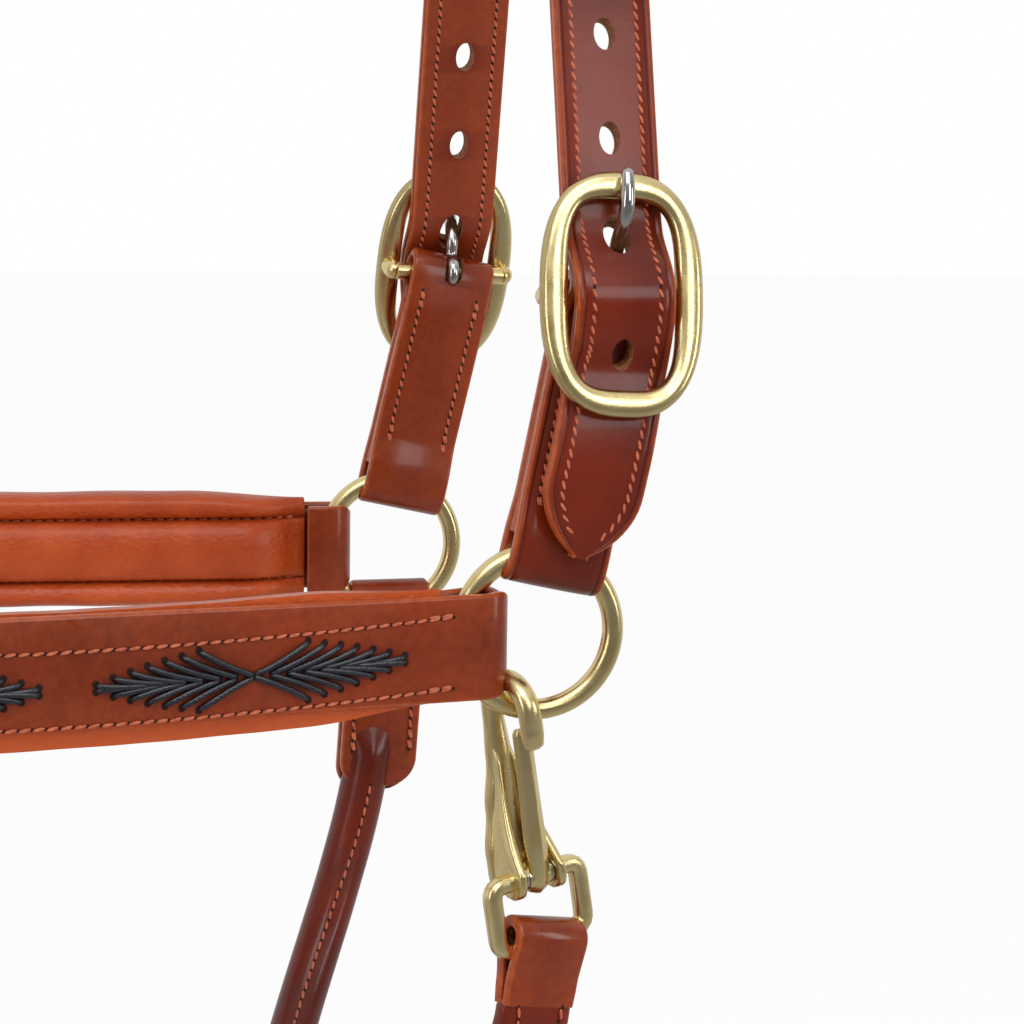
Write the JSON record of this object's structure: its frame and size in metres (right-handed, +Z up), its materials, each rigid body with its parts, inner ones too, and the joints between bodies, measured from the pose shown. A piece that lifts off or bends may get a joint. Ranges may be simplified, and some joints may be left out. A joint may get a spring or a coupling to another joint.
{
  "type": "leather headcollar",
  "caption": "Padded leather headcollar with laced cheeks, two poll buckles, rings and a throat snap.",
  "frame": {"origin": "where the headpiece lining rests on the poll, on the middle plane of the head", "axes": "+X towards the back of the head, -X towards the nose, -Y the near (left) side, +Z up"},
  "size_m": [0.2889, 0.2048, 0.3973],
  "materials": {
    "bridle_leather": "waxed smooth bridle leather, tan",
    "lining_leather": "soft lining leather",
    "pad_leather": "fine grained soft padding leather",
    "foam": "closed felt padding",
    "brass": "satin cast brass",
    "tongue_steel": "polished steel",
    "cord_core": "twisted core"
  },
  "bodies": {
    "cheeks": {"near_cheek_strap": "bridle_leather", "near_cheek_pad_cover": "pad_leather", "near_cheek_pad_foam": "foam", "far_cheek_strap": "bridle_leather", "far_cheek_pad_cover": "pad_leather", "far_cheek_pad_foam": "foam"},
    "headpiece": {"headpiece_outer": "bridle_leather", "headpiece_lining": "lining_leather", "near_chape": "bridle_leather", "near_chape_filler": "lining_leather", "near_buckle_frame": "brass", "far_chape": "bridle_leather", "far_chape_filler": "lining_leather", "far_buckle_frame": "brass"},
    "near_tongue": {"near_buckle_tongue": "tongue_steel"},
    "far_tongue": {"far_buckle_tongue": "tongue_steel"},
    "near_ring": {"near_upper_ring": "brass"},
    "far_ring": {"far_upper_ring": "brass"},
    "near_side_ring": {"near_lower_ring": "brass"},
    "far_side_ring": {"far_lower_ring": "brass"},
    "noseband": {"noseband_strap": "bridle_leather", "noseband_pad_cover": "pad_leather", "noseband_pad_foam": "foam"},
    "chin": {"near_chin_strap": "bridle_leather", "far_chin_strap": "bridle_leather"},
    "chin_ring": {"lead_ring": "brass"},
    "jaw": {"jaw_strap": "bridle_leather"},
    "throat": {"throat_roll_cover": "bridle_leather", "throat_roll_core": "cord_core", "throat_far_tab": "bridle_leather", "throat_near_end": "bridle_leather"},
    "eye": {"snap_eye": "brass"},
    "snap": {"snap_body": "brass", "snap_spring": "tongue_steel"},
    "gate": {"snap_gate": "brass"}
  },
  "joints": [
    {"name": "near_ring_spin", "type": "hinge", "parent": "cheeks", "child": "near_ring", "pos_m": [-0.01718, -0.075, -0.22599], "axis": [0, 1, 0], "continuous": true},
    {"name": "far_ring_spin", "type": "hinge", "parent": "cheeks", "child": "far_ring", "pos_m": [-0.01718, 0.075, -0.22599], "axis": [0, 1, 0], "continuous": true},
    {"name": "near_side_ring_spin", "type": "hinge", "parent": "cheeks", "child": "near_side_ring", "pos_m": [-0.24718, -0.095, -0.22599], "axis": [0, 1, 0], "continuous": true},
    {"name": "far_side_ring_spin", "type": "hinge", "parent": "cheeks", "child": "far_side_ring", "pos_m": [-0.24718, 0.095, -0.22599], "axis": [0, 1, 0], "continuous": true},
    {"name": "headpiece_swing", "type": "hinge", "parent": "cheeks", "child": "headpiece", "pos_m": [-0.01718, 0, -0.22599], "axis": [0, 1, 0], "range_deg": [-12, 12]},
    {"name": "near_tongue_lift", "type": "hinge", "parent": "headpiece", "child": "near_tongue", "pos_m": [0, -0.075, -0.14786], "axis": [0.9986, -0.0118, -0.051], "range_deg": [0, 8]},
    {"name": "far_tongue_lift", "type": "hinge", "parent": "headpiece", "child": "far_tongue", "pos_m": [0, 0.075, -0.14786], "axis": [-0.9986, -0.0118, 0.051], "range_deg": [0, 8]},
    {"name": "noseband_swing", "type": "hinge", "parent": "cheeks", "child": "noseband", "pos_m": [-0.24718, 0, -0.22599], "axis": [0, 1, 0], "range_deg": [-8, 8]},
    {"name": "throat_swing", "type": "hinge", "parent": "cheeks", "child": "throat", "pos_m": [-0.01718, 0, -0.22599], "axis": [0, 1, 0], "range_deg": [-6, 3]},
    {"name": "chin_swing", "type": "hinge", "parent": "cheeks", "child": "chin", "pos_m": [-0.24718, 0, -0.22599], "axis": [0, 1, 0], "range_deg": [-9.1, 4.6]},
    {"name": "jaw_hinge", "type": "hinge", "parent": "chin", "child": "jaw", "pos_m": [-0.22838, 0, -0.34399], "axis": [0, 1, 0], "range_deg": [-6, 12]},
    {"name": "lead_ring_spin", "type": "hinge", "parent": "chin", "child": "chin_ring", "pos_m": [-0.24718, 0, -0.34399], "axis": [0, 0, 1], "continuous": true},
    {"name": "eye_rock", "type": "hinge", "parent": "throat", "child": "eye", "pos_m": [-0.01454, -0.075, -0.30094], "axis": [0.9393, 0.309, 0.1488], "range_deg": [-4, 4]},
    {"name": "snap_rock", "type": "hinge", "parent": "eye", "child": "snap", "pos_m": [-0.01704, -0.075, -0.28514], "axis": [0.9393, 0.309, 0.1488], "range_deg": [-5.7, 5.7]},
    {"name": "gate_open", "type": "hinge", "parent": "snap", "child": "gate", "pos_m": [-0.01704, -0.075, -0.28514], "axis": [-0.9393, -0.309, -0.1488], "range_deg": [0, 12], "stiffness_Nm_per_rad": 0.02, "springref_deg": -17.19}
  ],
  "couplings": [
    {"joint": "chin_swing", "follows": "throat_swing", "ratio": 1.49},
    {"joint": "jaw_hinge", "follows": "throat_swing", "ratio": -1.955},
    {"joint": "snap_rock", "follows": "eye_rock", "ratio": -1.381}
  ]
}
